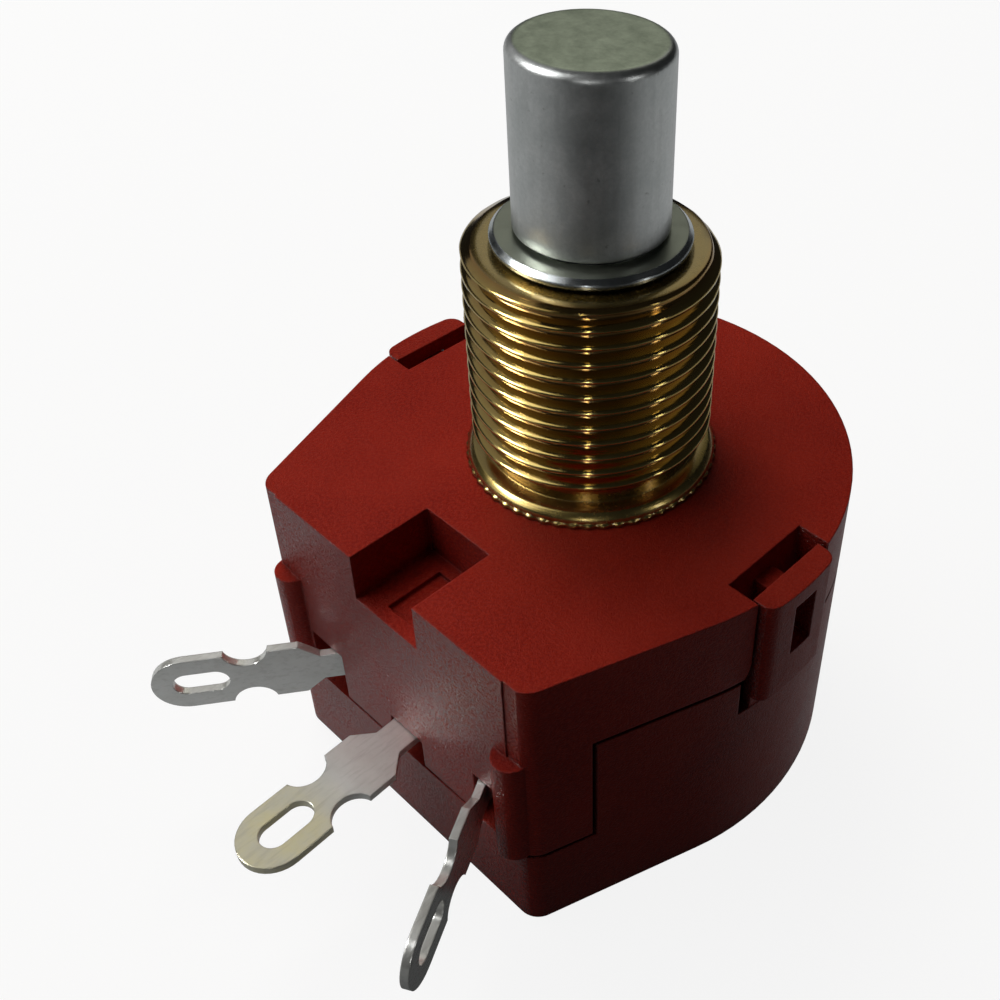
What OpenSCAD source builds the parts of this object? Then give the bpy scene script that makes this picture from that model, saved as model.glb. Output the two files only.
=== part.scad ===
// Panel-mounting rotary potentiometer with three solder lugs.
// The origin is on the shaft axis in the front face of the housing.
// +Z runs out along the shaft, the lugs leave the flat side towards -Y.

/* [Body outline] */
// Radius of the round back of the body
body_r = 11.25; // [10.8:0.05:13]
// Distance from the shaft axis to the flat lug side
front_y = 11.2; // [10.9:0.05:12.5]
// Half the length of the flat side between its two round corners
front_half = 7.06; // [6.9:0.02:7.4]
// Radius of the two upright front corners
corner_r = 1.0; // [0.5:0.1:1.6]
// Thickness of the moulded side walls
wall_t = 1.2; // [1:0.05:1.4]
// Depth of the whole body behind its front face
body_depth = 14.7; // [14:0.1:18]
// Width of the open joint line between housing and base
joint_gap = 0.2; // [0.06:0.02:0.3]
// Play between a moulded piece and what drops into it
drop_clear = 0.15; // [0.05:0.05:0.25]

/* [Front housing] */
// Thickness of the front plate
plate_t = 3.0; // [2.8:0.1:3.4]
// Height of the skirt on the flanks and the back
skirt_h = 4.2; // [4:0.1:5]
// Height of the front wall and its corner legs
leg_h = 10.1; // [9.9:0.1:11]
// Length of a corner leg along Y
leg_len = 2.5; // [2:0.1:2.6]
// Width of the locating notch
notch_w = 3.7; // [3:0.1:4.5]
// Length of the locating notch from the flat side inwards
notch_len = 3.75; // [3:0.05:4.2]
// Depth of the locating notch
notch_depth = 2.3; // [1.5:0.1:2.5]
// Depth of the shallow pocket in the notch floor
pocket_depth = 0.2; // [0.1:0.05:0.3]
// Sideways place of the edge of the pocket
pocket_x = -0.65; // [-1:0.05:1]
// Distance of the pocket from the flat side and from the inner end of the notch
pocket_margin = 0.6; // [0.4:0.05:1]
// Distance from the start of a round corner to the middle of its rib
rib_in = 0.28; // [0.1:0.02:0.5]
// Half the width of an upright rib
rib_r = 0.78; // [0.5:0.02:0.8]
// How far a rib stands off the flat side
rib_out = 0.6; // [0.3:0.05:0.75]
// Depth of the top of a rib below the front face
rib_top = 4.35; // [3.5:0.05:5]
// Set-back of the corner strips above the ribs
strip_depth = 0.06; // [0.04:0.01:0.2]

/* [Snap latches] */
// Depth of a latch recess, from the round surface to its inner wall
recess_in = 1.69; // [1.5:0.02:1.9]
// Half the width of a latch arm
arm_hw = 2.05; // [1.7:0.05:2.4]
// Play beside a latch arm in the housing
arm_side_gap = 0.18; // [0.1:0.02:0.3]
// Width of the relief slot on each side of an arm in the base
arm_slot_w = 0.6; // [0.4:0.05:0.9]
// Radius of the two upright outer corners of an arm
arm_corner = 0.6; // [0.3:0.05:0.7]
// Thickness of a latch arm
arm_t = 1.0; // [0.8:0.05:1.05]
// How far a latch arm stands proud of the round body
arm_out = 0.5; // [0.3:0.05:0.7]
// Depth of the top of an arm below the front face
arm_top = 0.15; // [0.05:0.05:0.5]
// Depth at which the proud part of an arm ends
arm_end = 5.65; // [5.3:0.05:6]
// Depth of the root of an arm, where its relief slots end
arm_root = 6.3; // [6.1:0.05:6.7]
// Half the width of the window in an arm
window_hw = 0.65; // [0.5:0.05:0.9]
// Depth of the upper edge of the window
window_top = 0.9; // [0.8:0.05:1.2]
// Depth of the lower edge of the window
window_bottom = 3.6; // [3.2:0.05:3.9]
// Play of a hook in its window
hook_play = 0.1; // [0.05:0.01:0.2]
// How far a hook reaches into its window
hook_grip = 0.4; // [0.3:0.05:0.8]

/* [Bushing] */
// Outside radius of the thread, M10 x 0.75
thread_r = 5.0; // [4.8:0.05:5.15]
// Height of the bushing above the front face
bushing_h = 10.2; // [9:0.1:12]
// Height of the chamfer at the top of the bushing
bushing_chamfer = 0.25; // [0.1:0.05:0.4]
// Width of the chamfer at the top of the bushing
bushing_chamfer_w = 0.45; // [0.2:0.05:0.6]
// Radius of the knurled shoulder
shoulder_r = 5.32; // [5.2:0.02:5.6]
// Height of the knurled shoulder
shoulder_h = 0.75; // [0.6:0.05:1.2]
// Number of knurl teeth round the shoulder
knurl_teeth = 90; // [48:2:96]
// Depth of a knurl tooth
knurl_depth = 0.1; // [0.05:0.01:0.2]
// Radius of the relief neck under the thread
neck_r = 4.45; // [4.2:0.05:4.6]
// Height of the relief neck
neck_h = 0.65; // [0.3:0.05:0.8]
// Radius of the spigot held in the front plate
spigot_r = 4.0; // [3.8:0.05:4.2]
// Radius of the lip rolled over behind the plate
lip_r = 4.7; // [4.5:0.05:5]
// Thickness of the rolled lip
lip_t = 0.4; // [0.3:0.05:0.5]
// Play of the spigot in the front plate
spigot_clear = 0.02; // [0.01:0.01:0.04]

/* [Shaft] */
// Radius of the shaft
shaft_r = 3.0; // [2.9:0.05:3.1]
// Height of the free end of the shaft above the front face
shaft_h = 18.2; // [15:0.1:30]
// Radius of the rounding at the free end
shaft_round = 0.4; // [0.2:0.05:0.8]
// Radial play of the shaft in the bushing
shaft_clear = 0.03; // [0.02:0.01:0.08]
// Radius of the tail that carries the rotor
tail_r = 2.2; // [2:0.05:2.3]
// Distance from the axis to the two flats of the tail
tail_flat = 1.75; // [1.6:0.05:1.9]
// Radius of the peened end of the tail
peen_r = 2.5; // [2.4:0.05:2.6]
// Thickness of the peened end
peen_t = 0.3; // [0.2:0.05:0.35]
// Radius at the floor of the retaining groove
groove_r = 2.55; // [2.4:0.05:2.65]
// Height of the retaining groove
groove_h = 0.8; // [0.7:0.05:1.4]

/* [Retaining ring] */
// Outside radius of the retaining ring
ring_r = 3.88; // [3.6:0.02:4.2]
// Inside radius of the retaining ring
ring_in_r = 2.62; // [2.5:0.02:2.75]
// Thickness of the retaining ring
ring_t = 0.5; // [0.4:0.05:0.6]
// Chamfer of the outer edge of the retaining ring
ring_edge = 0.12; // [0.05:0.01:0.2]
// Width of the mouth of the retaining ring
ring_mouth = 2.6; // [1.5:0.1:3.5]
// End play of the shaft
end_play = 0.06; // [0.03:0.01:0.1]

/* [Rotor and stop] */
// Radius of the rotor disc
rotor_r = 7.9; // [7.6:0.05:8.1]
// Thickness of the rotor disc
rotor_t = 1.3; // [1.1:0.05:1.4]
// Radius of the rotor hub
hub_r = 3.4; // [3:0.05:3.8]
// Play between the rotor and its neighbours
rotor_gap = 0.15; // [0.1:0.01:0.2]
// Height of the stop that hangs from the plate
stop_h = 1.45; // [1.2:0.05:1.5]
// Inner radius of the stop
stop_in_r = 6.0; // [5.6:0.05:6.2]
// Outer radius of the stop
stop_out_r = 7.4; // [7.2:0.05:7.6]
// Half the angle that the fixed stop covers
stop_half_angle = 14.5; // [8:0.5:20]
// Half the angle that the lug on the rotor covers
lug_half_angle = 14.5; // [8:0.5:20]
// Thickness of the thrust washer
thrust_t = 0.4; // [0.3:0.05:0.5]
// Thickness of the washer under the peened end
stake_t = 0.35; // [0.25:0.05:0.4]
// Radius of the washer under the peened end
stake_r = 3.0; // [2.8:0.05:3.1]

/* [Wiper] */
// Thickness of the wiper sheet
wiper_t = 0.2; // [0.15:0.01:0.25]
// Width of one contact finger
finger_w = 1.0; // [0.7:0.05:1.2]
// Length of a contact finger, from the sheet to its contact
finger_len = 3.0; // [2.5:0.1:3.4]
// Length of the turned-up tip past the contact
tip_len = 0.5; // [0.3:0.05:0.8]
// Gap left between a contact and what it slides on
contact_gap = 0.04; // [0.02:0.01:0.08]
// Radius of the two rotor pins that hold the wiper
pin_r = 0.5; // [0.4:0.05:0.55]

/* [Resistance element] */
// Depth of the element face below the front face
element_z = 7.35; // [7.2:0.05:7.45]
// Thickness of the element board
board_t = 1.3; // [1.2:0.05:1.5]
// Length by which the board stays back from the front wall
board_back = 0.95; // [0.85:0.05:1]
// Radius of the hole in the middle of the board
board_hole_r = 1.6; // [1:0.1:2.4]
// Thickness of the printed layers
film_t = 0.1; // [0.05:0.01:0.12]
// Radius of the middle of the resistance track
track_mid_r = 7.0; // [6.8:0.05:7.2]
// Width of the resistance track
track_w = 1.7; // [1.4:0.05:1.9]
// Half the angle at the front that the track leaves free
track_gap_angle = 32; // [30:1:36]
// Radius of the middle of the collector ring
collector_mid_r = 4.1; // [4:0.05:4.3]
// Width of the collector ring
collector_w = 1.5; // [1.3:0.05:1.7]
// Width of a printed pad round its rivet head
pad_w = 0.25; // [0.15:0.05:0.3]
// Angle by which a pad stays clear of the end of the track
pad_gap_angle = 1; // [0.5:0.5:2]

/* [Solder lugs] */
// Thickness of the lug sheet
lug_t = 0.35; // [0.3:0.05:0.5]
// Spacing of the rivets that hold the lugs
lug_pitch = 4.2; // [4.0:0.02:4.3]
// Distance from the middle to the upright part of the left lug
left_x = 4.2; // [4.1:0.02:4.5]
// Distance from the middle to the upright part of the right lug
right_x = 4.95; // [4.5:0.02:5.1]
// Sideways place of the middle lug
middle_x = 0.22; // [-0.4:0.02:0.4]
// Play of a lug in its gap in the front wall
lug_play = 0.2; // [0.1:0.02:0.3]
// Half the width of the neck of a lug
neck_hw = 0.72; // [0.6:0.02:0.74]
// Half the width of the shield and the eye of a lug
shield_hw = 1.43; // [1.2:0.02:1.6]
// Length of a lug outside the body
lug_len = 7.85; // [7:0.05:10]
// Where the shield of a lug begins
shield_start = 0.9; // [0.7:0.05:1.2]
// Where the shield reaches its full width
shield_full = 1.7; // [1.5:0.05:1.9]
// Where the shield ends
shield_end = 2.95; // [2.6:0.05:3.2]
// Radius of the hollow at each side of the waist
waist_r = 0.92; // [0.75:0.01:0.95]
// Length of the eye hole
eye_len = 2.3; // [1.8:0.05:2.6]
// Width of the eye hole
eye_w = 1.2; // [0.9:0.05:1.4]
// Metal left between the eye hole and the end of the lug
eye_edge = 0.85; // [0.6:0.05:1]
// Angle by which the left lug is splayed
left_splay = 38; // [0:1:45]
// Angle by which the right lug is splayed
right_splay = 27.5; // [0:0.5:45]
// Angle by which the left lug points down
left_dip = 1.5; // [-12:0.5:12]
// Angle by which the right lug points down
right_dip = 6; // [-12:0.5:12]
// Depth behind the flat side at which the splay of a side lug begins
splay_in = 0.28; // [0.2:0.02:0.4]
// Angle by which the middle lug is splayed
middle_splay = 2; // [-10:0.5:10]
// Distance from the flat side to the centres of the rivets
rivet_in = 3.6; // [3.4:0.05:3.7]
// Radius of the foot of a lug round its rivet
foot_r = 1.35; // [1.2:0.05:1.4]
// Outside radius of a rivet barrel
rivet_r = 0.7; // [0.6:0.05:0.8]
// Radius of a rivet head
rivet_head_r = 1.15; // [1:0.05:1.2]
// Thickness of a rivet head
rivet_head_t = 0.25; // [0.2:0.05:0.3]
// Wall of a hollow rivet
rivet_wall = 0.2; // [0.15:0.05:0.3]

/* [Rear base] */
// Thickness of the base floor
floor_t = 1.2; // [1:0.1:1.6]
// Width of the ledge that carries the element board
ledge_w = 1.0; // [0.8:0.05:1.2]
// Radius of the posts that carry the front of the board
post_r = 0.5; // [0.4:0.05:0.55]

/* [Hidden] */
$fn = 96;
// Small overlap that joins two parts of one solid
eps = 0.02;
// Reach of a cut past the surface that it opens
cut = 1;

// Angle by which each flank opens from the flat side to the round back
corner_reach = sqrt(pow(front_half, 2) + pow(front_y - corner_r, 2));
corner_angle = atan2(front_y - corner_r, front_half);
flank_angle = corner_angle - acos((body_r - corner_r) / corner_reach);

// Directions of the flat side and of the round back, as angles
front_dir = 270;
back_dir = 90;

// Levels from the front face down
lip_z = -plate_t - lip_t;
thrust_z = lip_z - end_play - thrust_t;
hub_z = thrust_z - end_play;
rotor_z = -plate_t - stop_h - rotor_gap;
rotor_bottom = rotor_z - rotor_t;
stake_z = rotor_bottom - stake_t;
element_top = -element_z;
board_z = -element_z - board_t;
lug_z = board_z - lug_t;
floor_z = -body_depth + floor_t;

// Levels above the front face
neck_z = shoulder_h + neck_h;
ring_z = bushing_h + end_play;

// Places on the flat side
leg_y = -front_y + leg_len;
inner_front_y = front_y - wall_t;
board_front_y = inner_front_y - board_back;
rivet_y = front_y - rivet_in;
rib_x = front_half - rib_in;
strip_x = rib_x - strip_depth;
lug_slot_out = rib_x - rib_r - lug_play / 2;
lug_slot_top = -lug_z - 2 * neck_hw - lug_play / 2;
lug_gap_low = -lug_z + lug_play;
lug_out_y = front_y - splay_in;
post_x = lug_pitch + foot_r + drop_clear + post_r;
bend_from = board_front_y + drop_clear;
foot_end = inner_front_y - drop_clear / 3;

// Places of the latches
arm_r = body_r + arm_out;
recess_x = body_r - recess_in;
arm_in_x = arm_r - arm_t - hook_play;
recess_hw = arm_hw + arm_side_gap;
slot_hw = arm_hw + arm_slot_w;
latch_wall_t = wall_t;
arm_back_x = arm_in_x - 2 * drop_clear;

// Flat outline of the body, drawn in by inset, with or without round corners
module body_outline(inset = 0, corner = 0) {
    a = flank_angle;
    r = body_r - inset;
    fy = front_y - inset;
    xc = (r - corner + (corner - fy) * sin(a)) / cos(a);
    tip = [xc + corner * cos(a), corner - fy - corner * sin(a)];
    side = [r * cos(a), -r * sin(a)];
    union() {
        intersection() {
            circle(r = r);
            translate([-2 * r, (side.y - fy) / 2]) square([4 * r, 4 * r]);
        }
        polygon([[xc, -fy], tip, side, [-side.x, side.y], [-tip.x, tip.y], [-xc, -fy]]);
        if (corner > 0)
            for (s = [-1, 1])
                translate([s * xc, corner - fy]) circle(r = corner);
    }
}

// Ring between the outline and the same outline drawn in by a wall
module wall_outline(wall) {
    difference() {
        body_outline(0, corner_r);
        body_outline(wall);
    }
}

// Everything in front of the line y = limit, towards the flat side
module front_of(limit) {
    translate([-2 * body_r, limit - 2 * body_r]) square([4 * body_r, 2 * body_r]);
}

// Sector of a ring, from one angle to another
module ring_sector(r_in, r_out, from, to) {
    steps = 8;
    reach = r_out * 1.2;
    rim = [for (i = [0:steps])
        let (t = from + (to - from) * i / steps)
        [reach * cos(t), reach * sin(t)]];
    intersection() {
        difference() {
            circle(r = r_out);
            circle(r = r_in);
        }
        polygon(concat([[0, 0]], rim));
    }
}

// One latch: a pair of like shapes on the left and right of the body
module both_sides() {
    for (s = [0, 1])
        mirror([s, 0, 0]) children();
}

// Toothed disc of a straight knurl
module knurled_disc(r, depth, teeth, h) {
    step = 360 / teeth;
    linear_extrude(height = h)
        polygon([for (i = [0:teeth - 1], k = [0, 1])
            let (rr = k == 0 ? r : r - depth, t = (i + k / 2) * step)
            [rr * cos(t), rr * sin(t)]]);
}

module shaft() {
    groove_z = ring_z - end_play / 2;
    color("silver")
    union() {
        rotate_extrude()
            difference() {
                union() {
                    translate([0, hub_z]) square([shaft_r, shaft_h - shaft_round - hub_z]);
                    translate([0, hub_z]) square([shaft_r - shaft_round, shaft_h - hub_z]);
                    intersection() {
                        translate([shaft_r - shaft_round, shaft_h - shaft_round])
                            circle(r = shaft_round, $fn = 48);
                        translate([0, hub_z]) square([shaft_r, shaft_h - hub_z]);
                    }
                }
                translate([groove_r, groove_z]) square([shaft_r, groove_h]);
                translate([tail_r, hub_z - cut])
                    square([shaft_r, cut + end_play + thrust_t + end_play]);
            }
        // Flatted tail in the rotor
        translate([0, 0, stake_z - eps])
            linear_extrude(height = hub_z - stake_z + 2 * eps)
                tail_section(0);
        // Peened end
        translate([0, 0, stake_z - peen_t]) cylinder(r = peen_r, h = peen_t);
    }
}

// Section of the tail: a circle with two flats, drawn out by grow
module tail_section(grow) {
    intersection() {
        circle(r = tail_r + grow);
        square([2 * (tail_flat + grow), 3 * tail_r], center = true);
    }
}

module retaining_ring() {
    c = ring_edge;
    color("gainsboro")
    translate([0, 0, ring_z])
        difference() {
            rotate_extrude()
                polygon([
                    [ring_in_r, 0],
                    [ring_r - c, 0],
                    [ring_r, c],
                    [ring_r, ring_t - c],
                    [ring_r - c, ring_t],
                    [ring_in_r, ring_t]]);
            translate([-ring_mouth / 2, 0, -cut]) cube([ring_mouth, 2 * ring_r, ring_t + 2 * cut]);
        }
}

module bushing() {
    color("goldenrod")
    difference() {
        union() {
            // Thread body with its chamfer and relief neck
            rotate_extrude()
                polygon([
                    [0, 0],
                    [neck_r, 0],
                    [neck_r, neck_z],
                    [thread_r, neck_z + (thread_r - neck_r) * 0.5],
                    [thread_r, bushing_h - bushing_chamfer],
                    [thread_r - bushing_chamfer_w, bushing_h],
                    [0, bushing_h]]);
            knurled_disc(shoulder_r, knurl_depth, knurl_teeth, shoulder_h);
            translate([0, 0, lip_z]) cylinder(r = spigot_r, h = -lip_z + eps);
            translate([0, 0, lip_z]) cylinder(r = lip_r, h = lip_t);
        }
        translate([0, 0, lip_z - cut])
            cylinder(r = shaft_r + shaft_clear, h = bushing_h - lip_z + 2 * cut);
    }
}

module front_housing() {
    color("firebrick")
    union() {
        difference() {
            union() {
                // Front plate
                translate([0, 0, -plate_t])
                    linear_extrude(height = plate_t) body_outline(0, corner_r);
                // Skirt round the flanks and the back
                translate([0, 0, -skirt_h])
                    linear_extrude(height = skirt_h) wall_outline(wall_t);
                // Front wall with its two corner legs
                translate([0, 0, -leg_h])
                    linear_extrude(height = leg_h)
                        intersection() {
                            wall_outline(wall_t);
                            front_of(leg_y);
                        }
                both_sides() latch_wall();
                both_sides() front_rib();
            }
            // Seat of the bushing
            translate([0, 0, -plate_t - cut])
                cylinder(r = spigot_r + spigot_clear, h = plate_t + 2 * cut);
            locating_notch();
            both_sides() latch_recess();
            both_sides() corner_strip();
            lug_slots(leg_h + cut);
        }
        both_sides() latch_hook();
        // Fixed stop
        translate([0, 0, -plate_t - stop_h])
            linear_extrude(height = stop_h + eps)
                ring_sector(stop_in_r, stop_out_r,
                    front_dir - stop_half_angle, front_dir + stop_half_angle);
        both_sides() clamp_post();
    }
}

// Pocket in the front edge that keys the body to the panel
module locating_notch() {
    translate([-notch_w / 2, -front_y - cut, -notch_depth])
        cube([notch_w, notch_len + cut, notch_depth + cut]);
    translate([pocket_x, pocket_margin - front_y, -notch_depth - pocket_depth])
        cube([notch_w / 2 - pocket_x, notch_len - 2 * pocket_margin, pocket_depth + cut]);
}

// Inner wall that closes the body behind a latch recess
module latch_wall() {
    translate([recess_x - latch_wall_t, -recess_hw - latch_wall_t, -skirt_h])
        cube([latch_wall_t, 2 * (recess_hw + latch_wall_t), skirt_h - eps]);
    for (s = [-1, 1])
        translate([recess_x - eps, s * (recess_hw + latch_wall_t / 2) - latch_wall_t / 2, -skirt_h])
            intersection() {
                cube([body_r - wall_t / 2 - recess_x, latch_wall_t, skirt_h - eps]);
                cube([latch_wall_t, latch_wall_t, skirt_h]);
            }
}

// Opening in plate and skirt in which an arm of the base stands
module latch_recess() {
    translate([recess_x, -recess_hw, -skirt_h - cut])
        cube([body_r, 2 * recess_hw, skirt_h + 2 * cut]);
    // Round lower corners of the skirt beside the arm
    round_r = skirt_h * 0.22;
    for (s = [-1, 1])
        translate([recess_x + wall_t / 2, s * (recess_hw + round_r), -skirt_h])
            difference() {
                translate([0, -round_r, -cut]) cube([body_r, 2 * round_r, cut + round_r]);
                translate([0, s * round_r, round_r])
                    rotate([0, 90, 0]) cylinder(r = round_r * 2, h = body_r);
                translate([-cut, s > 0 ? 0 : -2 * round_r, -2 * cut])
                    cube([body_r + 2 * cut, 2 * round_r, 4 * cut + round_r]);
            }
}

// Sloped catch that stands in the window of an arm
module latch_hook() {
    hook_top = -window_top - hook_play;
    hook_low = -window_bottom + 4 * hook_play;
    hook_hw = window_hw - hook_play;
    root_x = recess_x - latch_wall_t / 2;
    tip_x = arm_in_x + hook_grip;
    translate([0, hook_hw, 0])
        rotate([90, 0, 0])
            linear_extrude(height = 2 * hook_hw)
                polygon([
                    [root_x, hook_top],
                    [tip_x, hook_top],
                    [tip_x, hook_top - 3 * hook_play],
                    [recess_x, hook_low],
                    [root_x, hook_low]]);
}

// Half-round upright rib near a corner of the flat side
module front_rib() {
    translate([rib_x, -front_y, -leg_h])
        linear_extrude(height = leg_h - rib_top)
            intersection() {
                translate([0, rib_r - rib_out]) circle(r = rib_r, $fn = 48);
                translate([-rib_r, -rib_r]) square([2 * rib_r, rib_r + wall_t / 2]);
            }
}

// Slightly set-back strip between a rib and the front face
module corner_strip() {
    translate([strip_x, -front_y - cut, -rib_top])
        cube([body_r, cut + strip_depth, rib_top + cut]);
}

// Gap in the front wall through which a side lug leaves, down to a depth
module side_lug_slot(x, low) {
    from = x - lug_t / 2 - lug_play;
    translate([from, -front_y - cut, -low])
        cube([lug_slot_out - from, wall_t + 2 * cut, low - lug_slot_top]);
}

// Gap in the front wall through which the middle lug leaves, down to a depth
module middle_lug_slot(low) {
    hw = neck_hw + lug_play;
    translate([middle_x - hw, -front_y - cut, -low])
        cube([2 * hw + lug_play, wall_t + 2 * cut, low + board_z + drop_clear / 2]);
}

// All three gaps for the lugs
module lug_slots(low) {
    side_lug_slot(right_x, low);
    mirror([1, 0, 0]) side_lug_slot(left_x, low);
    middle_lug_slot(low);
}

// Post of the housing that holds the board down
module clamp_post() {
    translate([post_x, -board_front_y + post_r, element_top])
        cylinder(r = post_r, h = element_z - plate_t + eps, $fn = 48);
}

module rear_base() {
    wall_top = -skirt_h - joint_gap;
    color("brown")
    union() {
        difference() {
            // Cup, closed at the back
            translate([0, 0, -body_depth])
                linear_extrude(height = body_depth + wall_top) body_outline(0, corner_r);
            translate([0, 0, board_z])
                linear_extrude(height = -board_z) body_outline(wall_t);
            // Lower room, narrower by the ledge under the element board
            translate([0, 0, floor_z])
                linear_extrude(height = board_z - floor_z + cut) base_room();
            // Room for the front wall and the corner legs of the housing
            translate([0, 0, -leg_h - joint_gap])
                linear_extrude(height = leg_h) front_of(leg_y + joint_gap);
            // The lugs lie above the front edge of the cup, or in gaps in it
            lug_slots(lug_gap_low);
            both_sides() arm_space();
        }
        // Posts under the front of the board
        both_sides()
            translate([post_x, post_r - board_front_y, floor_z - floor_t / 2])
                cylinder(r = post_r, h = board_z - floor_z + floor_t / 2, $fn = 48);
        both_sides() latch_arm();
    }
}

// Flat outline of the room under the element board
module base_room() {
    body_outline(wall_t + ledge_w);
    intersection() {
        body_outline(wall_t);
        front_of(-rivet_y + foot_r + drop_clear);
    }
}

// Space round and behind the free part of an arm
module arm_space() {
    translate([arm_back_x, -slot_hw, -arm_root])
        cube([body_r, 2 * slot_hw, arm_root]);
}

// Springy arm of the base with the window that catches on the housing
module latch_arm() {
    root_t = wall_t / 2;
    difference() {
        union() {
            translate([0, 0, -arm_end])
                linear_extrude(height = arm_end - arm_top) arm_section(arm_r, arm_corner);
            translate([0, 0, -arm_root - root_t])
                linear_extrude(height = arm_root + root_t - arm_end + eps)
                    arm_section(body_r - eps, 0);
        }
        translate([body_r / 2, -window_hw, -window_bottom])
            cube([body_r, 2 * window_hw, window_bottom - window_top]);
    }
}

// Plan of an arm, with its outer corners rounded
module arm_section(r_out, corner) {
    y_c = arm_hw - corner;
    x_c = sqrt(pow(r_out - corner, 2) - pow(y_c, 2));
    intersection() {
        union() {
            intersection() {
                circle(r = r_out);
                translate([0, -y_c]) square([body_r * 2, 2 * y_c]);
            }
            translate([0, -arm_hw]) square([x_c, 2 * arm_hw]);
            if (corner > 0)
                for (s = [-1, 1])
                    translate([x_c, s * y_c]) circle(r = corner, $fn = 48);
        }
        translate([arm_in_x, -arm_hw - cut]) square([body_r, 2 * (arm_hw + cut)]);
        circle(r = r_out);
    }
}

module thrust_washer() {
    color("dimgray")
    translate([0, 0, thrust_z])
        difference() {
            cylinder(r = lip_r - drop_clear, h = thrust_t);
            translate([0, 0, -cut]) cylinder(r = tail_r + drop_clear, h = thrust_t + 2 * cut);
        }
}

module rotor() {
    color("ivory")
    difference() {
        union() {
            translate([0, 0, rotor_bottom]) cylinder(r = rotor_r, h = rotor_t);
            translate([0, 0, rotor_z - eps]) cylinder(r = hub_r, h = hub_z - rotor_z + eps);
            // Stop lug, at the back in the middle of the travel
            translate([0, 0, rotor_z - eps])
                linear_extrude(height = stop_h - rotor_gap + eps)
                    ring_sector(stop_in_r, stop_out_r,
                        back_dir - lug_half_angle, back_dir + lug_half_angle);
            // Pins that hold the wiper
            for (s = [-1, 1])
                translate([s * pin_x(), pin_y(), rotor_bottom - wiper_t - rotor_gap])
                    cylinder(r = pin_r, h = wiper_t + rotor_gap + eps, $fn = 32);
        }
        translate([0, 0, rotor_bottom - cut])
            linear_extrude(height = rotor_t + hub_z - rotor_z + 2 * cut) tail_section(eps);
    }
}

// Places of the two wiper pins on the rotor
function pin_x() = finger_len + finger_w * 0.6;
function pin_y() = (track_mid_r + collector_mid_r) / 2;

module stake_washer() {
    color("lightgray")
    translate([0, 0, stake_z])
        difference() {
            cylinder(r = stake_r, h = stake_t);
            translate([0, 0, -cut])
                linear_extrude(height = stake_t + 2 * cut) tail_section(eps);
        }
}

module wiper_spring() {
    root_x = -finger_len;
    half_x = pin_x() + pin_r * 2;
    y_in = collector_mid_r - finger_w / 2;
    y_out = track_mid_r + finger_w / 2;
    color("darkgoldenrod")
    union() {
        // Sheet under the rotor: two end tabs and the bar that joins them
        translate([0, 0, rotor_bottom - wiper_t])
            linear_extrude(height = wiper_t)
                difference() {
                    intersection() {
                        circle(r = rotor_r - 2 * rotor_gap);
                        union() {
                            translate([-half_x, y_in])
                                square([half_x + root_x + eps, y_out - y_in]);
                            translate([-pin_x(), pin_y() - finger_w / 2])
                                square([2 * pin_x(), finger_w]);
                            translate([pin_x(), pin_y()]) circle(r = 2 * pin_r, $fn = 48);
                        }
                    }
                    for (s = [-1, 1])
                        translate([s * pin_x(), pin_y()]) circle(r = pin_r + eps, $fn = 32);
                }
        contact_finger(root_x, track_mid_r);
        contact_finger(root_x, collector_mid_r);
    }
}

// Sloping finger that ends in a contact, extruded across its width
module contact_finger(root_x, at_y) {
    top = rotor_bottom;
    low = element_top + film_t + contact_gap;
    translate([0, at_y + finger_w / 2, 0])
        rotate([90, 0, 0])
            linear_extrude(height = finger_w)
                polygon([
                    [root_x - eps, top],
                    [root_x - eps, top - wiper_t],
                    [0, low],
                    [tip_len / 2, low],
                    [tip_len * 1.5, low + tip_len],
                    [tip_len * 1.5, low + tip_len + wiper_t],
                    [tip_len / 2, low + wiper_t],
                    [0, low + wiper_t],
                    [root_x + wiper_t, top]]);
}

module element_board() {
    color("saddlebrown")
    translate([0, 0, board_z])
        linear_extrude(height = board_t)
            difference() {
                intersection() {
                    body_outline(wall_t + drop_clear);
                    translate([-body_r, -board_front_y]) square([2 * body_r, 2 * body_r]);
                }
                circle(r = board_hole_r);
                for (k = [-1:1])
                    translate([k * lug_pitch, -rivet_y]) circle(r = rivet_r + eps, $fn = 32);
            }
}

module resistive_track() {
    color("black")
    translate([0, 0, element_top])
        linear_extrude(height = film_t)
            ring_sector(track_mid_r - track_w / 2, track_mid_r + track_w / 2,
                front_dir - 360 + track_gap_angle, front_dir - track_gap_angle);
}

module collector_ring() {
    color("silver")
    translate([0, 0, element_top])
        linear_extrude(height = film_t)
            difference() {
                union() {
                    circle(r = collector_mid_r + collector_w / 2);
                    // Lead to the middle rivet
                    translate([-finger_w / 2, -rivet_y + rivet_head_r])
                        square([finger_w, rivet_y - rivet_head_r - collector_mid_r]);
                }
                circle(r = collector_mid_r - collector_w / 2);
            }
}

module track_end_pads() {
    color("lightsteelblue")
    translate([0, 0, element_top])
        linear_extrude(height = film_t)
            for (s = [-1, 1])
                difference() {
                    translate([s * lug_pitch, -rivet_y]) circle(r = rivet_head_r + pad_w, $fn = 48);
                    translate([s * lug_pitch, -rivet_y]) circle(r = rivet_head_r, $fn = 48);
                    ring_sector(track_mid_r - track_w / 2 - 2 * eps, track_mid_r + track_w / 2 + 2 * eps,
                        front_dir - 360 + track_gap_angle - pad_gap_angle,
                        front_dir - track_gap_angle + pad_gap_angle);
                }
}

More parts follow.
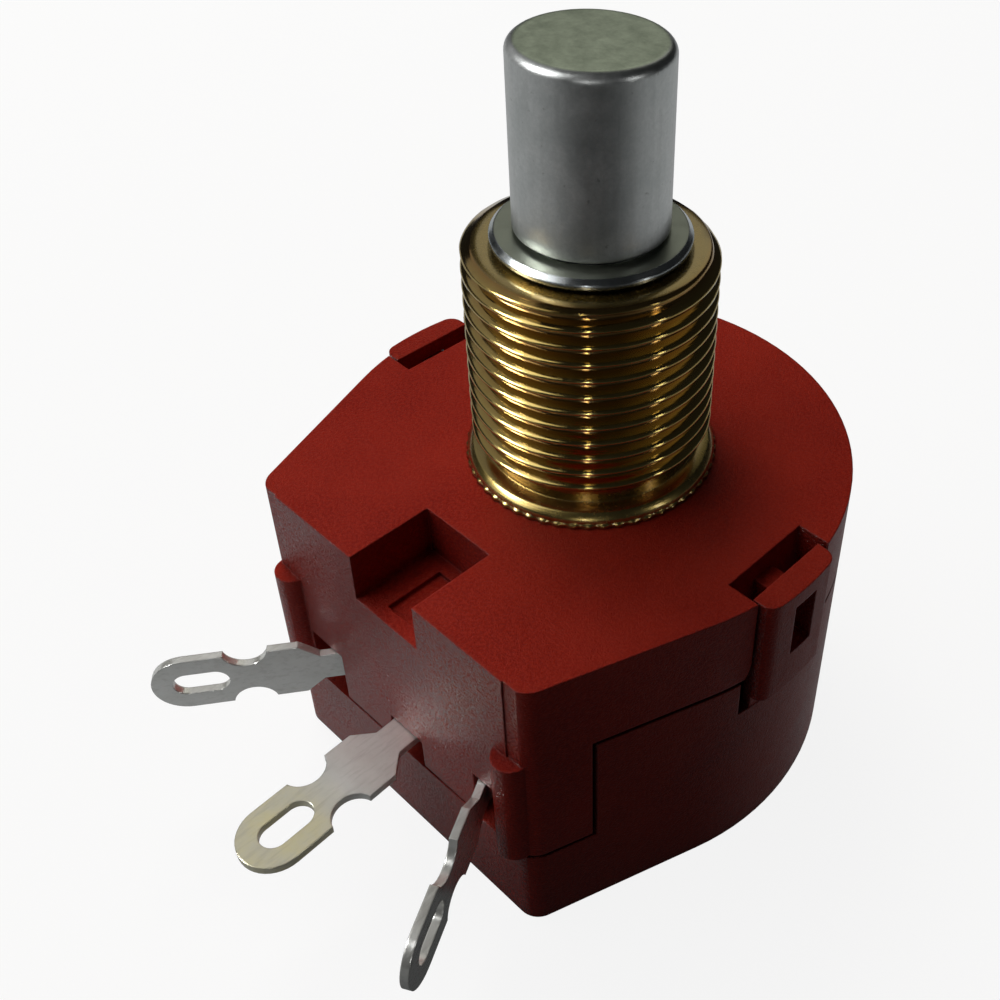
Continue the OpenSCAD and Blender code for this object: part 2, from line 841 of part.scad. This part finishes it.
// Flat outline of the outer part of a lug, along +X from the body
module lug_outline() {
    waist_x = shield_end + waist_r;
    eye_x = lug_len - shield_hw;
    difference() {
        union() {
            translate([-eps, -neck_hw]) square([waist_x + waist_r, 2 * neck_hw]);
            polygon([
                [shield_start, neck_hw], [shield_full, shield_hw],
                [waist_x, shield_hw], [waist_x, -shield_hw],
                [shield_full, -shield_hw], [shield_start, -neck_hw]]);
            translate([waist_x, -shield_hw]) square([eye_x - waist_x, 2 * shield_hw]);
            translate([eye_x, 0]) circle(r = shield_hw, $fn = 64);
        }
        for (s = [-1, 1])
            translate([waist_x, s * (neck_hw + waist_r)]) circle(r = waist_r, $fn = 48);
        // Eye hole with round ends
        translate([lug_len - eye_edge - eye_w / 2, 0]) circle(r = eye_w / 2, $fn = 48);
        translate([lug_len - eye_edge - eye_len + eye_w / 2, 0]) circle(r = eye_w / 2, $fn = 48);
        translate([lug_len - eye_edge - eye_len + eye_w / 2, -eye_w / 2])
            square([eye_len - eye_w, eye_w]);
    }
}

// Foot of a lug under the board, with the hole for its rivet
module lug_foot(rivet_x, from, to, reach) {
    translate([0, 0, lug_z])
        linear_extrude(height = lug_t)
            difference() {
                union() {
                    translate([rivet_x, -rivet_y]) circle(r = foot_r, $fn = 48);
                    translate([from, -reach]) square([to - from, reach - rivet_y]);
                }
                translate([rivet_x, -rivet_y]) circle(r = rivet_r + eps, $fn = 32);
            }
}

// Side lug: flat foot, edge bent upright, then a blade splayed outwards.
// Drawn for the right side.
module side_lug(x, splay, dip) {
    t = lug_t / 2;
    h = 2 * neck_hw;
    m = t * tan(splay / 2);
    out = [sin(splay), -cos(splay)];
    side = [cos(splay), sin(splay)];
    run = lug_t;
    union() {
        lug_foot(lug_pitch, x - t - h, x - t, foot_end);
        // Upright edge with the rounded bend along the foot
        translate([x, -bend_from, lug_z])
            rotate([90, 0, 0])
                linear_extrude(height = foot_end - bend_from)
                    union() {
                        translate([-t, lug_t]) square([lug_t, h - lug_t]);
                        translate([-t - lug_t, 0]) square([lug_t + eps, lug_t]);
                        intersection() {
                            translate([-t, lug_t]) circle(r = lug_t, $fn = 48);
                            translate([-t, 0]) square([lug_t, lug_t + eps]);
                        }
                    }
        // Straight run through the wall and the start of the splay
        translate([0, 0, lug_z])
            linear_extrude(height = h)
                polygon([
                    [x - t, eps - foot_end],
                    [x - t, -lug_out_y - m],
                    [x - t * side.x + run * out.x, -lug_out_y - t * side.y + run * out.y],
                    [x + t * side.x + run * out.x, -lug_out_y + t * side.y + run * out.y],
                    [x + t, -lug_out_y + m],
                    [x + t, eps - foot_end]]);
        // Splayed blade
        translate([x, -lug_out_y, lug_z + neck_hw])
            rotate([0, dip, splay - 90])
                rotate([90, 0, 0])
                    translate([0, 0, -t])
                        linear_extrude(height = lug_t) lug_outline();
    }
}

module terminal_left() {
    color("lightgray") mirror([1, 0, 0]) side_lug(left_x, left_splay, left_dip);
}

module terminal_right() {
    color("lightgray") side_lug(right_x, right_splay, right_dip);
}

module terminal_middle() {
    color("lightgray")
    union() {
        lug_foot(0, middle_x - neck_hw, middle_x + neck_hw, front_y + eps);
        translate([middle_x, -front_y, lug_z])
            rotate([0, 0, middle_splay - 90]) linear_extrude(height = lug_t) lug_outline();
    }
}

module terminal_rivets() {
    low = lug_z - rivet_head_t;
    high = element_top + rivet_head_t;
    color("gainsboro")
    for (k = [-1:1])
        translate([k * lug_pitch, -rivet_y, low])
            difference() {
                union() {
                    cylinder(r = rivet_head_r, h = rivet_head_t, $fn = 48);
                    cylinder(r = rivet_r, h = high - low, $fn = 48);
                    translate([0, 0, high - low - rivet_head_t])
                        cylinder(r = rivet_head_r, h = rivet_head_t, $fn = 48);
                }
                translate([0, 0, -cut])
                    cylinder(r = rivet_r - rivet_wall, h = high - low + 2 * cut, $fn = 32);
            }
}

shaft();
retaining_ring();
bushing();
front_housing();
rear_base();
thrust_washer();
rotor();
stake_washer();
wiper_spring();
element_board();
resistive_track();
collector_ring();
track_end_pads();
terminal_left();
terminal_middle();
terminal_right();
terminal_rivets();
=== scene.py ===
import math

import bpy
from mathutils import Matrix, Vector


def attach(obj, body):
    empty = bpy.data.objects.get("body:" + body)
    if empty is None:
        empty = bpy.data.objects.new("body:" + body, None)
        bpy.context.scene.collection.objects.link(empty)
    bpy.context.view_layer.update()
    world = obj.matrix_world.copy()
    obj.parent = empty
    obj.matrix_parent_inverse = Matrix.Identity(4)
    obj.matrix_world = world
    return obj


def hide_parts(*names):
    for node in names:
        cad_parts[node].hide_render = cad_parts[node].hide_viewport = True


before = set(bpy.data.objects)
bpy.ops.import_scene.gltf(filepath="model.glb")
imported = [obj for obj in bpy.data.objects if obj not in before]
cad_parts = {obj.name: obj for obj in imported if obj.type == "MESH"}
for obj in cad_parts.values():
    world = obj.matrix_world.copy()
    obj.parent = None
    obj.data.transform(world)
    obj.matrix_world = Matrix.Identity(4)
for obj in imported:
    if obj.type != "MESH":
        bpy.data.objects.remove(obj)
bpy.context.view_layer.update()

MM = 0.001


scene = bpy.context.scene
scene.view_settings.view_transform = "Standard"


# Camera, as fitted to the photograph's edges
def photo_camera():
    azimuth, elevation, roll = (math.radians(a) for a in (38.10522, 37.55986, 4.16394))
    place_mm = (28.71743, -28.68254, 35.09876)
    image_px, focal_px, sensor_mm = 1000, 1238.556, 36
    data = bpy.data.cameras.new("camera")
    data.sensor_width = sensor_mm
    data.lens = sensor_mm * focal_px / image_px
    data.shift_x, data.shift_y = -0.2111, -0.1247
    data.clip_start, data.clip_end = 0.001, 10
    back = Vector((math.sin(azimuth) * math.cos(elevation), -math.cos(azimuth) * math.cos(elevation),
                   math.sin(elevation)))
    level = Vector((math.cos(azimuth), math.sin(azimuth), 0))
    upright = back.cross(level)
    right = level * math.cos(roll) + upright * math.sin(roll)
    up = upright * math.cos(roll) - level * math.sin(roll)
    cam = bpy.data.objects.new("camera", data)
    scene.collection.objects.link(cam)
    turned = Matrix((right, up, back)).transposed().to_4x4()
    turned.translation = Vector(place_mm) * MM
    cam.matrix_world = turned
    scene.camera = cam


photo_camera()


# Node helpers
class Tree:
    def __init__(self, name):
        self.mat = bpy.data.materials.new(name)
        self.mat.use_nodes = True
        self.t = self.mat.node_tree
        self.t.nodes.clear()
        self.out = self.t.nodes.new("ShaderNodeOutputMaterial")
        self.coord = self.node("ShaderNodeTexCoord").outputs["Object"]

    def node(self, kind, ins=None, **props):
        n = self.t.nodes.new(kind)
        for k, v in props.items():
            setattr(n, k, v)
        for k, v in (ins or {}).items():
            self.put(n.inputs[k], v)
        return n

    def put(self, socket, v):
        if isinstance(v, bpy.types.NodeSocket):
            self.t.links.new(v, socket)
        else:
            socket.default_value = v

    def scaled(self, x, y, z):
        return self.node("ShaderNodeMapping", {"Vector": self.coord, "Scale": (x, y, z)}).outputs[0]

    def noise(self, vec, scale, detail=3.0, rough=0.55):
        return self.node("ShaderNodeTexNoise", {"Vector": vec, "Scale": scale, "Detail": detail,
                         "Roughness": rough}).outputs[0]

    def remap(self, v, a, b, c, d):
        return self.node("ShaderNodeMapRange", {"Value": v, "From Min": a, "From Max": b,
                         "To Min": c, "To Max": d}).outputs[0]

    def math(self, op, a, b=0.0):
        return self.node("ShaderNodeMath", {0: a, 1: b}, operation=op).outputs[0]

    def mix(self, fac, a, b):
        n = self.t.nodes.new("ShaderNodeMix")
        n.data_type = "RGBA"
        self.put(n.inputs[0], fac)
        self.put(n.inputs[6], a)
        self.put(n.inputs[7], b)
        return n.outputs[2]

    def bump(self, height, strength, dist, normal=None):
        n = self.node("ShaderNodeBump", {"Height": height, "Strength": strength, "Distance": dist})
        if normal is not None:
            self.put(n.inputs["Normal"], normal)
        return n.outputs[0]

    def bevel(self, radius):
        return self.node("ShaderNodeBevel", {"Radius": radius}, samples=6).outputs[0]

    def dot(self, a, b):
        return self.node("ShaderNodeVectorMath", {0: a, 1: b}, operation="DOT_PRODUCT").outputs["Value"]

    # 1 along edges, where the bevelled normal leaves the true one
    def edge(self, bevelled):
        geo = self.node("ShaderNodeNewGeometry").outputs["Normal"]
        d = self.dot(bevelled, geo)
        return self.remap(self.math("SUBTRACT", 1.0, d), 0.01, 0.12, 0.0, 1.0)

    # The normal's share along one axis of the part
    def facing(self, axis):
        geo = self.node("ShaderNodeNewGeometry").outputs["Normal"]
        return self.node("ShaderNodeSeparateXYZ", {"Vector": geo}).outputs[axis]

    def place(self, axis):
        return self.node("ShaderNodeSeparateXYZ", {"Vector": self.coord}).outputs[axis]

    # The coordinate with its height set to nought
    def flat(self):
        n = self.node("ShaderNodeVectorMath", {0: self.coord, 1: (1, 1, 0)}, operation="MULTIPLY")
        return n.outputs[0]

    def from_axis(self):
        return self.node("ShaderNodeVectorMath", {0: self.flat()}, operation="LENGTH").outputs["Value"]

    def finish(self, ins):
        b = self.node("ShaderNodeBsdfPrincipled", ins)
        self.t.links.new(b.outputs[0], self.out.inputs[0])
        return self.mat


def rgb(r, g, b):
    return (r, g, b, 1.0)


# Materials
def red_plastic(name, tone=1.0):
    t = Tree(name)
    cloud = t.noise(t.coord, 160, 4)
    grain = t.noise(t.coord, 7500, 3, 0.6)
    deep, bright = rgb(0.225 * tone, 0.0080, 0.0040), rgb(0.335 * tone, 0.0175, 0.0070)
    pale_grain, worn = rgb(0.41 * tone, 0.030, 0.014), rgb(0.42 * tone, 0.045, 0.035)
    dust_tone, painted_crevice_shade = rgb(0.45, 0.10, 0.08), rgb(0.030, 0.0008, 0.0008)
    base = t.mix(t.remap(cloud, 0.3, 0.7, 0, 1), deep, bright)
    base = t.mix(t.remap(grain, 0.42, 0.60, 0, 0.50), base, pale_grain)
    # Pale dust in the mould texture
    dust = t.noise(t.coord, 2300, 5, 0.7)
    base = t.mix(t.remap(dust, 0.66, 0.78, 0, 0.35), base, dust_tone)
    # Painted shade: joints, corners and recesses are darkened where ambient occlusion finds them
    shade = t.node("ShaderNodeAmbientOcclusion", {"Distance": 1.1 * MM}, samples=6).outputs["AO"]
    base = t.mix(t.remap(shade, 0.20, 0.70, 0.90, 0.0), base, painted_crevice_shade)
    nb = t.bevel(0.12 * MM)
    wear = t.math("MULTIPLY", t.edge(nb), t.remap(t.noise(t.coord, 900, 3), 0.35, 0.7, 0.15, 0.6))
    base = t.mix(wear, base, worn)
    wave = t.noise(t.coord, 260, 2)
    fine = t.noise(t.coord, 15000, 2, 0.6)
    # The front wall comes from a glossier face of the mould, with a coarser grain that glitters
    front = t.remap(t.facing("Y"), -0.98, -0.90, 1.0, 0.0)
    pebble = t.noise(t.coord, 9000, 2, 0.7)
    h = t.math("ADD", t.math("ADD", t.math("MULTIPLY", grain, 0.8), fine), t.math("MULTIPLY", wave, 2.0))
    h = t.math("ADD", h, t.math("MULTIPLY", t.math("MULTIPLY", pebble, 3.0), front))
    normal = t.bump(h, 0.75, 0.04 * MM, nb)
    rough = t.math("ADD", t.remap(cloud, 0.3, 0.7, 0.30, 0.38), t.remap(dust, 0.5, 0.8, 0, 0.12))
    gloss = t.remap(front, 0.0, 1.0, 0.10, t.remap(pebble, 0.40, 0.58, 0.10, 1.0))
    rough = t.math("SUBTRACT", rough, t.math("MULTIPLY", front, 0.14))
    return t.finish({"Base Color": base, "Roughness": rough, "Normal": normal, "IOR": 1.5,
                     "Specular IOR Level": gloss})


def turned_metal(name, low, high, rough_a, rough_b, stain, lines, depth=0.35, film=0.0,
                 dull_shade_tone=(0.30, 0.32, 0.26), darker_below=None, root=None):
    t = Tree(name)
    # Fine turning lines round the axis, broken up a little
    ring = t.noise(t.scaled(0.02, 0.02, 1.0), lines, 3)
    sweep = t.noise(t.coord, 420, 4)
    spot = t.noise(t.coord, 1500, 6, 0.7)
    base = t.mix(t.remap(sweep, 0.3, 0.7, 0, 1), rgb(*low), rgb(*high))
    base = t.mix(t.remap(ring, 0.3, 0.75, 0.0, 0.35), base, rgb(*[c * 0.72 for c in low]))
    if root:
        # Painted shade: the roots of the thread are painted browner
        base = t.mix(t.remap(t.from_axis(), root, root + 0.4 * MM, 0.8, 0.0), base, rgb(0.36, 0.17, 0.04))
    base = t.mix(t.remap(spot, 0.55, 0.75, 0, 0.5), base, rgb(*stain))
    # Painted shade: flat faces that look up are painted a darker dull tone, and so is whatever lies below a
    # height; both are also made rougher
    up = t.remap(t.facing("Z"), 0.93, 0.99, 0.0, 1.0)
    if darker_below:
        low_part = t.remap(t.place("Z"), darker_below - 0.2 * MM, darker_below, 0.8, 0.0)
        up = t.math("MAXIMUM", up, low_part)
    base = t.mix(t.math("MULTIPLY", up, 0.9), base, rgb(*dull_shade_tone))
    lines_and_spots = t.math("ADD", ring, t.math("MULTIPLY", spot, 0.25))
    normal = t.bump(lines_and_spots, depth, 0.02 * MM, t.bevel(0.1 * MM))
    rough = t.math("ADD", t.remap(sweep, 0.3, 0.7, rough_a, rough_b), t.remap(spot, 0.5, 0.8, 0.0, 0.12))
    rough = t.math("ADD", rough, t.math("MULTIPLY", up, 0.16))
    return t.finish({"Base Color": base, "Metallic": 1.0, "Roughness": rough, "Normal": normal,
                     "Coat Weight": film, "Coat Roughness": 0.12})


def shaft_metal():
    t = Tree("shaft_steel_look")
    side = t.noise(t.scaled(0.03, 0.03, 1.0), 8000, 3)
    grind = t.noise(t.scaled(1, 1, 0.06), 2600, 3)
    blot = t.noise(t.coord, 520, 5, 0.65)
    base = t.mix(t.remap(blot, 0.32, 0.7, 0, 1), rgb(0.50, 0.52, 0.51), rgb(0.66, 0.67, 0.66))
    base = t.mix(t.remap(grind, 0.4, 0.75, 0, 0.25), base, rgb(0.38, 0.38, 0.36))
    pit = t.noise(t.coord, 3800, 3)
    base = t.mix(t.remap(pit, 0.68, 0.76, 0, 0.5), base, rgb(0.22, 0.21, 0.19))
    speck = t.noise(t.coord, 6500, 3, 0.7)
    base = t.mix(t.remap(speck, 0.35, 0.65, 0.0, 0.30), base, rgb(0.36, 0.38, 0.37))
    # The end face is greenish and faintly mottled
    up = t.remap(t.facing("Z"), 0.93, 0.99, 0.0, 1.0)
    mottle = t.noise(t.coord, 1100, 6, 0.7)
    end = t.mix(t.remap(mottle, 0.30, 0.70, 0, 1), rgb(0.33, 0.38, 0.29), rgb(0.60, 0.67, 0.53))
    base = t.mix(up, base, end)
    h = t.math("ADD", t.math("MULTIPLY", side, 0.6), t.math("ADD", grind, t.math("MULTIPLY", pit, 0.4)))
    normal = t.bump(h, 0.3, 0.02 * MM, t.bevel(0.12 * MM))
    rough = t.remap(blot, 0.3, 0.7, 0.30, 0.42)
    return t.finish({"Base Color": base, "Metallic": 1.0, "Roughness": rough, "Normal": normal})


def tinned():
    t = Tree("lug_tin_look")
    cloud = t.noise(t.coord, 900, 4, 0.6)
    streak = t.noise(t.scaled(1, 0.15, 1), 5200, 3)
    base = t.mix(t.remap(cloud, 0.35, 0.65, 0, 1), rgb(0.88, 0.88, 0.84), rgb(0.97, 0.97, 0.94))
    # The eye of the middle lug has a yellow tint
    tip = t.remap(t.place("Y"), -16.5 * MM, -14.5 * MM, 0.85, 0.0)
    middle = t.remap(t.math("ABSOLUTE", t.place("X")), 2 * MM, 4 * MM, 1.0, 0.0)
    eye = t.math("MULTIPLY", tip, middle)
    base = t.mix(t.math("MULTIPLY", eye, t.remap(cloud, 0.3, 0.6, 0.4, 1.0)), base, rgb(0.96, 0.88, 0.52))
    base = t.mix(t.remap(streak, 0.5, 0.8, 0, 0.35), base, rgb(0.40, 0.39, 0.36))
    h = t.math("ADD", t.math("MULTIPLY", cloud, 1.6), streak)
    normal = t.bump(h, 0.25, 0.03 * MM, t.bevel(0.08 * MM))
    rough = t.remap(cloud, 0.3, 0.7, 0.14, 0.26)
    return t.finish({"Base Color": base, "Metallic": 0.65, "Roughness": rough, "Normal": normal})


def plain_grain(name, a, b, rough, scale=900, metal=0.0):
    t = Tree(name)
    n = t.noise(t.coord, scale, 4)
    base = t.mix(t.remap(n, 0.3, 0.7, 0, 1), rgb(*a), rgb(*b))
    normal = t.bump(n, 0.3, 0.03 * MM, t.bevel(0.06 * MM))
    rough_n = t.remap(n, 0.3, 0.7, rough, rough + 0.1)
    return t.finish({"Base Color": base, "Metallic": metal, "Roughness": rough_n, "Normal": normal})


case_look = red_plastic("case_plastic_look")
base_look = red_plastic("base_plastic_look", 0.94)
# The brass's dull tone is painted shade on its upward faces, and it also darkens the lower part
brass_look = turned_metal("bushing_brass_look", (0.50, 0.35, 0.09), (0.66, 0.50, 0.16), 0.07, 0.14,
                          stain=(0.32, 0.18, 0.05), lines=11000, film=0.7,
                          dull_shade_tone=(0.34, 0.25, 0.08), darker_below=1.3 * MM, root=4.55 * MM)
steel_look = shaft_metal()
ring_look = turned_metal("ring_steel_look", (0.50, 0.53, 0.52), (0.64, 0.68, 0.70), 0.16, 0.26,
                         stain=(0.30, 0.29, 0.20), lines=5000, depth=0.2)
tin_look = tinned()
looks = {
    "shaft": steel_look,
    "retaining_ring": ring_look,
    "front_housing": case_look,
    "rear_base": base_look,
    "thrust_washer": ring_look,
    "stake_washer": ring_look,
    "rotor": plain_grain("rotor_plastic_look", (0.70, 0.67, 0.58), (0.80, 0.77, 0.70), 0.45),
    "wiper_spring": plain_grain("spring_brass_look", (0.62, 0.42, 0.16), (0.74, 0.54, 0.24), 0.25, 1500, 1.0),
    "element_board": plain_grain("board_laminate_look", (0.30, 0.16, 0.06), (0.40, 0.23, 0.10), 0.5, 600),
    "resistive_track": plain_grain("carbon_print_look", (0.012, 0.012, 0.012), (0.03, 0.03, 0.03), 0.5, 3000),
    "collector_ring": plain_grain("silver_print_look", (0.55, 0.55, 0.53), (0.7, 0.7, 0.68), 0.35, 2500, 1.0),
    "terminal_left": tin_look,
    "terminal_middle": tin_look,
    "terminal_right": tin_look,
    "terminal_rivets": tin_look,
}
looks["track_end_pads"] = looks["collector_ring"]
for name, look in looks.items():
    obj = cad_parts[name]
    if obj.material_slots:
        for slot in obj.material_slots:
            slot.material = look
    else:
        obj.data.materials.append(look)


# A new object from points and faces, with one material
def add_mesh(name, verts, faces, look, sharp_over=None):
    mesh = bpy.data.meshes.new(name)
    mesh.from_pydata(verts, [], faces)
    mesh.validate()
    if sharp_over is not None:
        mesh.shade_smooth()
        mesh.set_sharp_from_angle(angle=math.radians(sharp_over))
    mesh.materials.append(look)
    obj = bpy.data.objects.new(name, mesh)
    scene.collection.objects.link(obj)
    return obj


# Threaded bushing. Sizes are in mm, and a row is its kind, its radius and its height. The kind is p for plain,
# k for knurled, or t for thread, whose radius comes from thread_r
def threaded_bushing():
    pitch, major, depth = 0.75, 5.0, 0.45
    crest_half, root_half = 0.0625, 0.375
    crest_at = 8.65
    bottom, top = -3.4, 10.2
    bore, neck, tail = 3.03, 4.45, 4.7
    thread_from, neck_top = 1.40, 1.36
    chamfer_r, chamfer_slope = 4.55, 1.9
    runout_from, runout_slope = 1.38, 1.6
    shoulder_top, knurl_r, knurl_depth = 0.65, 5.33, 0.08
    teeth = 54
    tooth = (0.0, 0.15, 0.5, 0.85, 1.0, 0.85, 0.5, 0.15)
    n = teeth * len(tooth)
    crest_angle = math.radians(-51.9)

    def thread_r(ang, z):
        turn = (ang - crest_angle) / (2 * math.pi)
        u = (z - crest_at) / pitch - turn
        d = abs(u - round(u))
        cut = depth * min(1.0, max(0.0, (d - crest_half) / (root_half - crest_half)))
        # The thread fades out in the chamfer above and in the neck below
        chamfer = chamfer_r + (top - z) * chamfer_slope
        runout = neck + max(0.0, z - runout_from) * runout_slope
        return min(major - cut, chamfer, runout)

    inside = [("p", bore, bottom), ("p", bore + 0.15, bottom), ("p", 4.62, bottom), ("p", tail, -3.3),
              ("p", tail, -3.02), ("p", 4.0, -3.0), ("p", 4.0, 0.0)]
    knurl = [("k", knurl_r - 0.04, 0.0), ("k", knurl_r, 0.03), ("k", knurl_r, 0.16),
             ("k", knurl_r - 0.04, 0.21)]
    rim = [("p", 5.23, 0.24), ("p", 5.21, 0.40), ("p", 5.18, 0.44), ("p", 5.03, 0.62),
           ("p", 4.98, shoulder_top), ("p", 4.6, shoulder_top), ("p", neck, 0.72), ("p", neck, neck_top)]
    rows = inside + knurl + rim
    z = thread_from
    while z < top - 0.03:
        rows.append(("t", 0, z))
        z += pitch / 16
    rows += [("t", 0, top), ("p", 4.2, top), ("p", 3.28, top), ("p", 3.06, top - 0.12),
             ("p", bore, top - 0.2)]
    verts, faces = [], []
    for kind, r, z in rows:
        for i in range(n):
            a = 2 * math.pi * i / n
            if kind == "t":
                rr = thread_r(a, z)
            elif kind == "k":
                rr = r - knurl_depth * tooth[i % len(tooth)]
            else:
                rr = r
            verts.append((rr * math.cos(a) * MM, rr * math.sin(a) * MM, z * MM))
    m = len(rows)
    for j in range(m):
        k = (j + 1) % m
        for i in range(n):
            q = (i + 1) % n
            faces.append((j * n + i, j * n + q, k * n + q, k * n + i))
    obj = add_mesh("threaded_bushing", verts, faces, brass_look, sharp_over=32)
    # The thread's own edges stay smooth
    mesh = obj.data
    sharp = mesh.attributes["sharp_edge"]
    above, outside = 1.42 * MM, 4.3 * MM
    for e in mesh.edges:
        a, b = (mesh.vertices[i].co for i in e.vertices)
        if a.z > above and b.z > above and max(a.xy.length, b.xy.length) > outside:
            sharp.data[e.index].value = False
    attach(obj, "case")
    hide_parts("bushing")


threaded_bushing()


# Retaining ring
def bright_ring():
    r_in, r_out, low, high, edge = 2.70, 3.88, 10.26, 10.81, 0.20
    fine = 0.05
    section = [(r_in, low), (r_out - edge, low), (r_out, low + edge), (r_out, high - edge),
               (r_out - edge, high), (r_in + fine, high), (r_in, high - fine)]
    # The mouth lies behind the shaft as the camera sees it
    half_mouth, mouth_at = 22.0, 128.0
    n = 160
    verts = []
    for i in range(n + 1):
        a = math.radians(mouth_at + half_mouth + (360 - 2 * half_mouth) * i / n)
        verts += [(r * math.cos(a) * MM, r * math.sin(a) * MM, z * MM) for r, z in section]
    m = len(section)
    faces = [(i * m + j, (i + 1) * m + j, (i + 1) * m + (j + 1) % m, i * m + (j + 1) % m)
             for i in range(n) for j in range(m)]
    faces += [tuple(range(m)), tuple(n * m + j for j in reversed(range(m)))]
    obj = add_mesh("bright_ring", verts, faces, ring_look, sharp_over=30)
    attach(obj, "spindle")
    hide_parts("retaining_ring")


bright_ring()


# Floor, world and light
def floor():
    half = 1.5
    z = -14.705 * MM
    t = Tree("floor_look")
    seen = t.node("ShaderNodeLightPath").outputs["Is Camera Ray"]
    white = t.node("ShaderNodeEmission", {"Color": rgb(1, 1, 1), "Strength": 1.0}).outputs[0]
    # This share of the floor takes the shadow
    shadow_share = 0.12
    lit = t.node("ShaderNodeBsdfDiffuse", {"Color": rgb(0.90, 0.90, 0.91)}).outputs[0]
    pale = t.node("ShaderNodeMixShader", {0: shadow_share, 1: white, 2: lit}).outputs[0]
    # What the part itself mirrors: a bright table on the left, a dim one on the front right
    dim_side = (0.766, -0.643, 0)
    way = t.node("ShaderNodeVectorMath", {0: t.flat()}, operation="NORMALIZE").outputs[0]
    dim = t.dot(way, dim_side)
    glow = t.math("ADD", t.remap(dim, 0.35, 0.95, 0.33, 0.05), t.remap(dim, -1.0, 0.35, 0.16, 0.0))
    table = t.node("ShaderNodeEmission", {"Color": rgb(0.97, 0.99, 1.0), "Strength": glow}).outputs[0]
    mixed = t.node("ShaderNodeMixShader", {0: seen, 1: table, 2: pale}).outputs[0]
    t.t.links.new(mixed, t.out.inputs[0])
    square = [(-half, -half, z), (half, -half, z), (half, half, z), (-half, half, z)]
    add_mesh("floor", square, [(0, 1, 2, 3)], t.mat)


# White to the camera, and a dark room to the part
def surroundings():
    world = bpy.data.worlds.new("world")
    scene.world = world
    world.use_nodes = True
    tree = world.node_tree
    tree.nodes.clear()
    out = tree.nodes.new("ShaderNodeOutputWorld")
    path = tree.nodes.new("ShaderNodeLightPath")
    mix = tree.nodes.new("ShaderNodeMixShader")
    white = tree.nodes.new("ShaderNodeBackground")
    room = tree.nodes.new("ShaderNodeBackground")
    white.inputs["Color"].default_value = rgb(1, 1, 1)
    room.inputs["Color"].default_value = rgb(0.9, 0.95, 1.0)
    room.inputs["Strength"].default_value = 0.016
    tree.links.new(path.outputs["Is Camera Ray"], mix.inputs[0])
    tree.links.new(room.outputs[0], mix.inputs[1])
    tree.links.new(white.outputs[0], mix.inputs[2])
    tree.links.new(mix.outputs[0], out.inputs[0])


floor()
surroundings()


# Azimuth, elevation and distance are from the middle of the part, with azimuth 0 in front of the lugs
def softbox(name, azimuth, elevation, dist, w, h, watts, tint=(1, 1, 1), glossy=True, diffuse=True):
    a, e = math.radians(azimuth), math.radians(elevation)
    d = Vector((math.sin(a) * math.cos(e), -math.cos(a) * math.cos(e), math.sin(e)))
    data = bpy.data.lights.new(name, "AREA")
    data.shape = "RECTANGLE"
    data.size, data.size_y = w, h
    data.energy = watts
    data.color = tint
    obj = bpy.data.objects.new(name, data)
    scene.collection.objects.link(obj)
    obj.location = Vector((0, 0, -2 * MM)) + d * dist
    obj.rotation_mode = "QUATERNION"
    obj.rotation_quaternion = d.to_track_quat("Z", "Y")
    obj.visible_camera = False
    obj.visible_glossy = glossy
    obj.visible_diffuse = diffuse


# These only light the matte surfaces
softbox("window", -60, 52, 0.40, 0.50, 0.40, 0.95, (1.0, 0.99, 0.97), glossy=False)
softbox("back_left", -115, 52, 0.40, 0.20, 0.20, 0.56, (1.0, 0.96, 0.86), glossy=False)
# These are only mirrored, except back_card, which does both
softbox("window_seen", -28, 45, 0.40, 0.24, 0.30, 0.33, diffuse=False)
softbox("left_seen", -78, 48, 0.40, 0.38, 0.30, 0.10, diffuse=False)
softbox("back_card", -142, 38, 0.40, 0.26, 0.20, 0.085, (1.0, 1.0, 0.90))
softbox("lug_card", -38, 37.6, 0.40, 0.12, 0.12, 1.05, diffuse=False)
softbox("strip_left", -32, 22, 0.35, 0.20, 0.12, 0.065, diffuse=False)
softbox("strip_mid", 39, 22, 0.35, 0.014, 0.12, 0.070, diffuse=False)
softbox("strip_right", 103, 22, 0.35, 0.030, 0.12, 0.055, diffuse=False)
